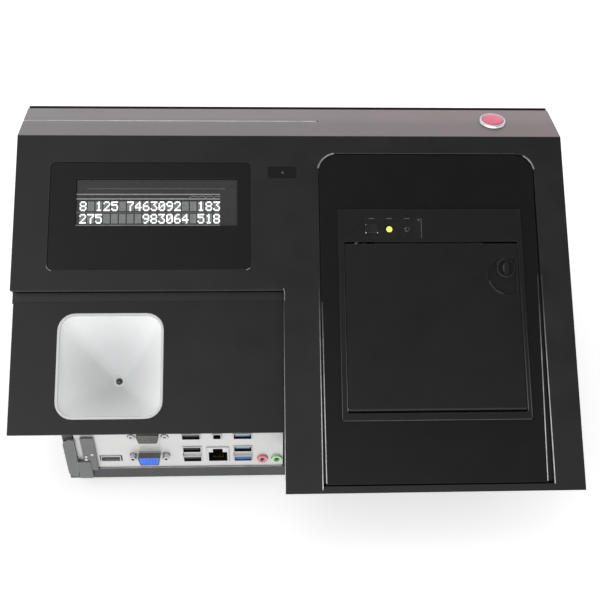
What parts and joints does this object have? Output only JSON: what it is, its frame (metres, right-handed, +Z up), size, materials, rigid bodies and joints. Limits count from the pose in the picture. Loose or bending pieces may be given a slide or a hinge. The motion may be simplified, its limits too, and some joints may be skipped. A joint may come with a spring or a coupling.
{
  "type": "desk-top ticket terminal",
  "caption": "Wedge-shaped counter ticket terminal with a code scanner, character display and thermal ticket printer for the passenger and a touch screen for the clerk.",
  "frame": {"origin": "centre of the footprint's bounding box, on the surface the feet stand on", "axes": "+X across the width towards the printer's side, -Y towards the passenger who faces the sloping deck, +Z up"},
  "size_m": [0.42, 0.3916, 0.2149],
  "materials": {
    "housing": "fine-textured black",
    "rear_shell": "fine-textured black",
    "strip": "satin taupe metallic paint",
    "cover": "fine-textured black",
    "panel": "semi-gloss black",
    "door": "semi-gloss black",
    "label": "gloss black film",
    "leds": "yellow-green indicator lens",
    "board": "green solder mask",
    "smoked": "smoked window",
    "tube": "grey display glass",
    "clear": "clear window",
    "white": "white diffuser",
    "dark_plastic": "black",
    "chrome": "polished",
    "red": "translucent red cap",
    "sheet": "dark grey powder coat",
    "shield": "plain bright sheet",
    "shell": "nickel-plated shell",
    "vga_blue": "blue insert",
    "pink": "pink jack",
    "green": "green jack",
    "brass": "turned brass",
    "alloy": "bare aluminium",
    "steel": "bare steel",
    "foot": "black rubber",
    "roller": "black rubber",
    "screen_glass": "black screen glass",
    "paper": "thermal paper",
    "gear_plastic": "white acetal",
    "ceramic": "print-head substrate",
    "zinc": "zinc-plated"
  },
  "bodies": {
    "body": {"front_housing": "housing", "rear_housing": "rear_shell", "top_strip": "strip", "scanner_cover": "cover", "printer_panel": "panel", "printer_bezel": "door", "status_label": "label", "status_leds": "leds", "control_board": "board", "display_bezel": "smoked", "display_tube": "tube", "sensor_window": "smoked", "scanner_window": "clear", "scanner_funnel": "white", "scanner_camera": "dark_plastic", "slot_guide": "dark_plastic", "button_ring": "chrome", "button_nut": "zinc", "chassis_tray": "sheet", "chassis_lid": "sheet", "chassis_cheeks": "sheet", "io_shield": "shield", "motherboard": "board", "board_standoffs": "brass", "hdmi_port": "shell", "vga_port": "vga_blue", "serial_port": "shell", "usb2_ports": "shell", "lan_port": "shell", "usb3_ports": "shell", "microphone_jack": "pink", "headphone_jack": "green", "cpu_heatsink": "alloy", "fan_frame": "dark_plastic", "power_supply": "alloy", "dc_jack": "dark_plastic", "rubber_feet": "foot", "screen_bezel": "smoked", "touch_glass": "screen_glass", "lcd_panel": "alloy", "paper_bucket": "dark_plastic", "thermal_head": "ceramic", "head_bracket": "alloy", "mech_frame": "zinc", "feed_motor": "steel", "tear_bar": "steel", "hinge_pins": "steel", "case_screws": "zinc"},
    "door": {"printer_door": "door"},
    "platen": {"platen_roller": "roller", "platen_shaft": "steel", "platen_gear": "gear_plastic"},
    "idler": {"idler_gear": "gear_plastic"},
    "pinion": {"motor_pinion": "brass"},
    "roll": {"paper_roll": "paper"},
    "feed_key": {"feed_button": "dark_plastic"},
    "power_key": {"button_cap": "red"},
    "latch": {"door_latch": "dark_plastic"},
    "reader": {"read_head": "steel"},
    "fan": {"fan_rotor": "dark_plastic"}
  },
  "joints": [
    {"name": "door_hinge", "type": "hinge", "parent": "body", "child": "door", "pos_m": [0.10425, -0.14722, 0.08042], "axis": [1, 0, 0], "range_deg": [0, 95]},
    {"name": "latch_turn", "type": "hinge", "parent": "door", "child": "latch", "pos_m": [0.1606, -0.06578, 0.14658], "axis": [0, -0.6157, 0.788], "range_deg": [0, 90]},
    {"name": "roll_spin", "type": "hinge", "parent": "body", "child": "roll", "pos_m": [0.10425, -0.0535, 0.09892], "axis": [1, 0, 0], "continuous": true},
    {"name": "platen_spin", "type": "hinge", "parent": "door", "child": "platen", "pos_m": [0.10425, -0.0489, 0.14772], "axis": [1, 0, 0], "continuous": true},
    {"name": "idler_spin", "type": "hinge", "parent": "body", "child": "idler", "pos_m": [0.054, -0.03724, 0.13861], "axis": [1, 0, 0], "continuous": true},
    {"name": "pinion_spin", "type": "hinge", "parent": "body", "child": "pinion", "pos_m": [0.054, -0.02383, 0.14296], "axis": [1, 0, 0], "continuous": true},
    {"name": "feed_key_slide", "type": "slide", "parent": "body", "child": "feed_key", "axis": [0, 0.6157, -0.788], "range_m": [0, 0.0008], "stiffness_N_per_m": 400},
    {"name": "power_key_slide", "type": "slide", "parent": "body", "child": "power_key", "axis": [0, 0, -1], "range_m": [0, 0.002], "stiffness_N_per_m": 400},
    {"name": "reader_slide", "type": "slide", "parent": "body", "child": "reader", "axis": [0, 1, 0], "range_m": [0, 0.0004], "stiffness_N_per_m": 300},
    {"name": "fan_spin", "type": "hinge", "parent": "body", "child": "fan", "pos_m": [-0.07, -0.04581, 0.043], "axis": [0, 0, 1], "continuous": true}
  ],
  "couplings": [
    {"joint": "idler_spin", "follows": "platen_spin", "ratio": -0.5},
    {"joint": "pinion_spin", "follows": "platen_spin", "ratio": 1.1667},
    {"joint": "roll_spin", "follows": "platen_spin", "ratio": 0.16216}
  ]
}
